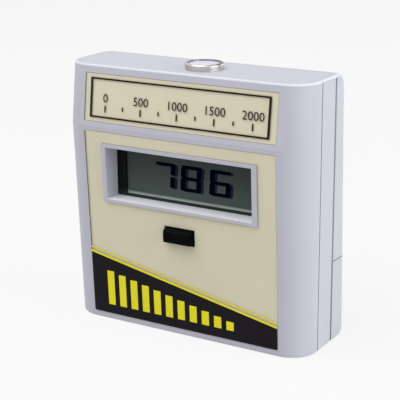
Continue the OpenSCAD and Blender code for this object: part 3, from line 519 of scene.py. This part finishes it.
def colours_along(made, axis, low, high, stops, sudden=False):
    """Colours a finish along one axis, through stops of a share of the way from low to high and a colour."""
    tree = made.node_tree
    tones = tree.nodes.new("ShaderNodeValToRGB")
    tones.color_ramp.interpolation = "CONSTANT" if sudden else "LINEAR"
    first, last = tones.color_ramp.elements
    first.color = (*stops[0][1], 1)
    last.position = stops[-1][0]
    last.color = (*stops[-1][1], 1)
    for at, colour in stops[1:-1]:
        tones.color_ramp.elements.new(at).color = (*colour, 1)
    tree.links.new(share_between(tree, place_on(tree, axis), low, high), tones.inputs["Fac"])
    recolour(made, tones.outputs["Color"])


film_low, film_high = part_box("lcd_polariser")
# Painted light: the frame is lighter and greener at its foot, next to the pale line of the glass.
frame_painted_glow, frame_black = (0.022, 0.036, 0.028), (0.0035, 0.0040, 0.0040)
fade_low, fade_high = film_low.z - 0.0014, film_low.z + 0.0010
frame_plastic = finish("frame_black", frame_painted_glow, rough=0.55, grain_scale=2600, spread=0.4, shine=0.10)
colours_along(frame_plastic, "Z", fade_low, fade_high, ((0, frame_painted_glow), (1, frame_black)))
dress("display_frame", frame_plastic)
# Painted shade: the film is darker towards the top, and its foot is a pale painted highlight.
film_edge_highlight, film_lit, film_shaded = (0.26, 0.32, 0.29), (0.062, 0.086, 0.074), (0.034, 0.047, 0.043)
display_film = finish("display_film", film_edge_highlight, rough=0.34, grain_scale=1200, spread=0.05,
                      bump=0.03, shine=0.15)
colours_along(display_film, "Z", film_low.z, film_high.z,
              ((0, film_edge_highlight), (0.02, film_edge_highlight), (0.03, film_lit), (1, film_shaded)))
dress("lcd_polariser", display_film)
# Painted highlight: the bare rim of the glass is a pale line that fades into the dark glass above it.
glass_rim_highlight, glass_dark = (0.52, 0.60, 0.54), (0.05, 0.07, 0.06)
rim_fade_h = 0.0015
display_glass = finish("display_glass", glass_rim_highlight, rough=0.20, grain_scale=600, spread=0.04,
                       bump=0.02, coat=0.4)
colours_along(display_glass, "Z", film_low.z, film_low.z + rim_fade_h, ((0, glass_rim_highlight), (1, glass_dark)))
dress("lcd_glass", display_glass)
dress("lcd_reflector", finish("reflector_foil", (0.46, 0.48, 0.44), rough=0.32, grain_scale=2500,
                              spread=0.10, metal=0.8))
rubber_pink, rubber_black = (0.52, 0.27, 0.22), (0.05, 0.045, 0.045)
strips = finish("contact_rubber", rubber_pink, rough=0.60, grain_scale=1800, spread=0.08)
tree = strips.node_tree
layers = tree.nodes.new("ShaderNodeTexWave")
layers.bands_direction = "X"
layers.inputs["Scale"].default_value = 1600
layers_place = tree.nodes.new("ShaderNodeTexCoord")
tree.links.new(layers_place.outputs["Object"], layers.inputs["Vector"])
recolour(strips, mixed(tree, layers.outputs["Fac"], rubber_pink, rubber_black).outputs["Result"])
dress("contact_strips", strips)


# Digits: the dark bars of a seven-bar display, with the paler shadow that they throw
# on the film behind them. They lean a little to the right.
digit_w, digit_h = 0.0094, 0.0103
post_w, beam_w = 0.0022, 0.0012
post_gap, beam_gap = 0.00045, 0.0005
digit_thick = 0.00001
tip_share = 0.5
digit_lean = 0.06
above_middle = 0.0001
digit_z = (film_low.z + film_high.z) / 2 + above_middle
post_x, post_z = digit_w / 2 - post_w / 2, digit_h / 4
beam_z = digit_h / 2 - beam_w / 2
post_long, beam_long = digit_h / 2 - post_gap, digit_w - beam_gap
liquid_lift, beam_lift = 0.00007, 0.00002
shadow_lift, shadow_right, shadow_down = 0.00002, 0.00120, 0.00030
bars_of = {
    "top": (0, beam_z, True), "middle": (0, 0, True), "foot": (0, -beam_z, True),
    "high_left": (-post_x, post_z, False), "high_right": (post_x, post_z, False),
    "low_left": (-post_x, -post_z, False), "low_right": (post_x, -post_z, False),
}
shown = (
    ("digit_left", -0.01065, ("top", "high_right", "low_right")),
    ("digit_middle", 0.00135, tuple(bars_of)),
    ("digit_right", 0.01450, ("top", "middle", "foot", "high_left", "low_left", "low_right")),
)


def liquid_bar(x, z, level):
    """One bar with blunt tips, drawn out from a six-sided disc."""
    wide, long = (beam_w, beam_long) if level else (post_w, post_long)
    disc_r = wide / math.sqrt(3)
    bpy.ops.object.select_all(action="DESELECT")
    bpy.ops.mesh.primitive_cylinder_add(vertices=6, radius=disc_r, depth=digit_thick,
                                        rotation=(math.pi / 2, math.pi / 2 if level else 0, 0))
    bpy.ops.object.transform_apply(location=True, rotation=True, scale=True)
    piece = bpy.context.object
    piece.scale = (tip_share, 1, 1) if level else (1, 1, tip_share)
    bpy.ops.object.transform_apply(location=True, rotation=True, scale=True)
    reach = long / 2 - tip_share * disc_r
    off_middle = wide / 10
    for side in (-1, 1):
        if level:
            pull(piece, lambda at: at.x * side > off_middle, (reach * side, 0, 0))
        else:
            pull(piece, lambda at: at.z * side > off_middle, (0, 0, reach * side))
    piece.location = (x, -beam_lift if level else 0, z)
    bpy.ops.object.transform_apply(location=True, rotation=True, scale=True)
    return piece


def digit(name, x, z, lift, bars, ink):
    """All bars of one digit as one piece, leaning, at its place on the film."""
    made = [liquid_bar(*bars_of[bar]) for bar in bars]
    bpy.ops.object.select_all(action="DESELECT")
    for piece in made:
        piece.select_set(True)
    bpy.context.view_layer.objects.active = made[0]
    bpy.ops.object.join()
    piece = bpy.context.object
    piece.name = name
    lean = Matrix.Identity(4)
    lean[0][2] = digit_lean
    piece.data.transform(Matrix.Translation((x, film_low.y - lift, z)) @ lean)
    piece.data.materials.clear()
    piece.data.materials.append(ink)
    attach(piece, "root")


liquid_ink = finish("liquid_ink", (0.0006, 0.0026, 0.0072), rough=0.45, grain_scale=1500, spread=0.3,
                    bump=0.02, shine=0.0)
shadow_ink = finish("shadow_ink", (0.0075, 0.0140, 0.0310), rough=0.45, grain_scale=1500, spread=0.3,
                    bump=0.02, shine=0.03)
for name, x, bars in shown:
    digit(name + "_shadow", x + shadow_right, digit_z - shadow_down, shadow_lift, bars, shadow_ink)
    digit(name, x, digit_z, liquid_lift, bars, liquid_ink)


# Push button: a black cap of satin plastic with softly broken edges, on the white plunger of a small
# switch that is soldered to the front of the board, with a spring behind the plunger's collar.
dress("push_button", finish("button_black", (0.0028, 0.0024, 0.0032), rough=0.46, grain_scale=1800,
                            spread=0.35, bump=0.06, shine=0.02))
dress("switch_body", finish("switch_black", (0.016, 0.017, 0.020), rough=0.50, grain_scale=2400, spread=0.3))
dress("switch_plunger", finish("nylon_white", (0.66, 0.66, 0.62), rough=0.42, grain_scale=1500,
                               spread=0.05))
spring_crisp = math.radians(65)
spring_steel = finish("spring_steel", (0.55, 0.56, 0.58), rough=0.28, grain_scale=3000, spread=0.12,
                      metal=1.0)
spring = stand_in("switch_spring", spring_steel, "root", spring_crisp)
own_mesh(spring)
tinned = finish("tinned_metal", (0.60, 0.62, 0.64), rough=0.30, grain_scale=2200, spread=0.15, metal=1.0)
dress("switch_leads", tinned)


# Sensor: a turned and nickel plated ring whose barrel goes down through the roof, with a painted dark
# reflection on the back of its lip.
# It holds a white diffuser over a photodiode in a gilt can, and a nut holds it from inside.
nickel_plate, painted_dark_reflection = (0.52, 0.49, 0.47), (0.085, 0.080, 0.110)
nickel = finish("nickel", nickel_plate, rough=0.26, grain_scale=2600, spread=0.12, bump=0.05, metal=1.0)
tree = nickel.node_tree
ring_low, ring_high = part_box("sensor_ring")
ring_x, ring_y = (ring_low.x + ring_high.x) / 2, (ring_low.y + ring_high.y) / 2
lip_from_z, lip_to_z = ring_high.z - 0.00045, ring_high.z - 0.00020
back_from_y, back_to_y = -0.0055, -0.0025
turned_place = tree.nodes.new("ShaderNodeTexCoord")
turned_centre = tree.nodes.new("ShaderNodeMapping")
turned_centre.inputs["Location"].default_value = (-ring_x, -ring_y, 0)
turned_rings = tree.nodes.new("ShaderNodeTexWave")
turned_rings.wave_type = "RINGS"
turned_rings.rings_direction = "Z"
turned_rings.inputs["Scale"].default_value = 900
turned_rings.inputs["Distortion"].default_value = 1.5
tree.links.new(turned_place.outputs["Object"], turned_centre.inputs["Vector"])
tree.links.new(turned_centre.outputs["Vector"], turned_rings.inputs["Vector"])
tree.links.new(turned_rings.outputs["Fac"], tree.nodes["relief"].inputs["Height"])
turned_split = tree.nodes.new("ShaderNodeSeparateXYZ")
tree.links.new(turned_centre.outputs["Vector"], turned_split.inputs[0])
# Painted reflection: the lip of the ring is darker towards its back.
on_lip = share_between(tree, turned_split.outputs["Z"], lip_from_z, lip_to_z)
at_back = share_between(tree, turned_split.outputs["Y"], back_from_y, back_to_y)
recolour(nickel, mixed(tree, both(tree, on_lip, at_back), nickel_plate, painted_dark_reflection).outputs["Result"])
dress("sensor_ring", nickel)
dress("sensor_nut", finish("nut_nickel", (0.60, 0.58, 0.54), rough=0.30, grain_scale=2200, spread=0.15,
                           metal=1.0))
diffuser = finish("diffuser_white", (0.62, 0.59, 0.70), rough=0.48, grain_scale=1600, spread=0.04, bump=0.05)
diffuser_shader = diffuser.node_tree.nodes["Principled BSDF"]
diffuser_shader.inputs["Subsurface Weight"].default_value = 0.15
diffuser_shader.inputs["Subsurface Scale"].default_value = 0.001
dress("sensor_diffuser", diffuser)
dress("photodiode", finish("diode_can", (0.60, 0.46, 0.24), rough=0.28, grain_scale=2400, spread=0.12,
                           metal=1.0))
dress("sensor_leads", finish("gilt_wire", (0.62, 0.42, 0.16), rough=0.30, grain_scale=2400, spread=0.12,
                             metal=1.0))


# Circuit board: woven glass and resin under a green mask, with copper tracks that show through the mask
# as slightly paler lines. The parts on its back are soldered through it, and screws hold it in the case.
mask_green, mask_light, track_green = (0.022, 0.120, 0.050), (0.028, 0.140, 0.058), (0.060, 0.230, 0.095)
board = finish("board_green", (0.025, 0.130, 0.055), rough=0.34, grain_scale=1400, spread=0.08, coat=0.3)
tree = board.node_tree
board_place = tree.nodes.new("ShaderNodeTexCoord")
board_turn = tree.nodes.new("ShaderNodeMapping")
board_turn.inputs["Rotation"].default_value = facing_front
tracks = tree.nodes.new("ShaderNodeTexBrick")
tracks.inputs["Scale"].default_value = 90
tracks.inputs["Mortar Size"].default_value = 0.03
tracks.inputs["Color1"].default_value = (*mask_green, 1)
tracks.inputs["Color2"].default_value = (*mask_light, 1)
tracks.inputs["Mortar"].default_value = (*track_green, 1)
tree.links.new(board_place.outputs["Object"], board_turn.inputs["Vector"])
tree.links.new(board_turn.outputs["Vector"], tracks.inputs["Vector"])
recolour(board, tracks.outputs["Color"])
dress("circuit_board", board)
chip_black = finish("chip_black", (0.014, 0.014, 0.016), rough=0.56, grain_scale=3000, spread=0.35)
dress("meter_chip", chip_black)
dress("amplifier_chip", chip_black)
dress("meter_chip_legs", tinned)
dress("film_capacitors", finish("capacitor_resin", (0.26, 0.045, 0.028), rough=0.26, grain_scale=700,
                                spread=0.12, coat=0.3))
dress("board_screws", finish("board_screw_zinc", (0.56, 0.57, 0.59), rough=0.30, grain_scale=2600,
                             spread=0.2, metal=1.0))


# Resistors and upright cans: each resistor is a lacquered body with coloured bands between its tinned
# wires, and each can has a dark blue shrunk sleeve. All of them are soldered to the back of the board.
lacquer, wire_tin = (0.58, 0.42, 0.23), (0.60, 0.61, 0.63)
brown_band, black_band = (0.10, 0.030, 0.010), (0.010, 0.010, 0.012)
red_band, gold_band = (0.50, 0.040, 0.010), (0.55, 0.34, 0.06)
band_stops = (
    (0, wire_tin), (0.19, lacquer), (0.27, brown_band), (0.33, lacquer), (0.40, black_band), (0.46, lacquer),
    (0.53, red_band), (0.59, lacquer), (0.70, gold_band), (0.75, lacquer), (0.81, wire_tin),
)
banded = finish("resistor_lacquer", lacquer, rough=0.32, grain_scale=1800, spread=0.05, coat=0.3)
low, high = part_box("resistors")
colours_along(banded, "Z", low.z, high.z, band_stops, sudden=True)
dress("resistors", banded)
dress("electrolytic_capacitors", finish("can_sleeve", (0.022, 0.034, 0.085), rough=0.30, grain_scale=900,
                                        spread=0.12, coat=0.3))


# Battery: a nine volt block in a lacquered jacket of two plain colours, lying on low ribs.
# Its snap is soft black vinyl over a metal stud and socket, with one black and one red lead,
# and a foam pad stuck to the door keeps it from rattling.
jacket_grey, jacket_copper, copper_from = (0.045, 0.050, 0.060), (0.50, 0.27, 0.09), 0.72
jacket = finish("battery_jacket", jacket_grey, rough=0.28, grain_scale=1200, spread=0.06, bump=0.04,
                coat=0.35)
low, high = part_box("battery")
colours_along(jacket, "X", low.x, high.x, ((0, jacket_grey), (copper_from, jacket_copper)), sudden=True)
dress("battery", jacket)
dress("battery_terminals", finish("terminal_metal", (0.62, 0.63, 0.65), rough=0.24, grain_scale=2200,
                                  spread=0.12, metal=1.0))
dress("battery_snap", finish("snap_vinyl", (0.012, 0.012, 0.014), rough=0.58, grain_scale=1600, spread=0.3))
dress("snap_contacts", finish("snap_metal", (0.60, 0.60, 0.58), rough=0.26, grain_scale=2200, spread=0.15,
                              metal=1.0))
black_sleeve, red_sleeve = (0.010, 0.010, 0.012), (0.38, 0.016, 0.012)
sleeve = finish("lead_sleeve", red_sleeve, rough=0.45, grain_scale=1500, spread=0.08)
tree = sleeve.node_tree
low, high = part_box("battery_leads")
upper_lead = tree.nodes.new("ShaderNodeMath")
upper_lead.operation = "GREATER_THAN"
upper_lead.inputs[1].default_value = (low.z + high.z) / 2
tree.links.new(place_on(tree, "Z"), upper_lead.inputs[0])
recolour(sleeve, mixed(tree, upper_lead.outputs[0], black_sleeve, red_sleeve).outputs["Result"])
dress("battery_leads", sleeve)
dress("battery_pad", finish("foam", (0.060, 0.060, 0.064), rough=0.85, grain_scale=1900, spread=0.5,
                            bump=0.5, bump_depth=0.0002))


# Case screws: zinc plated, sunk deep in the back so that only their heads show. They hold the two
# shells together, and the lower two of the four are inside the battery bay.
dress("case_screws", finish("case_screw_zinc", (0.56, 0.57, 0.59), rough=0.30, grain_scale=2600,
                            spread=0.2, metal=1.0))
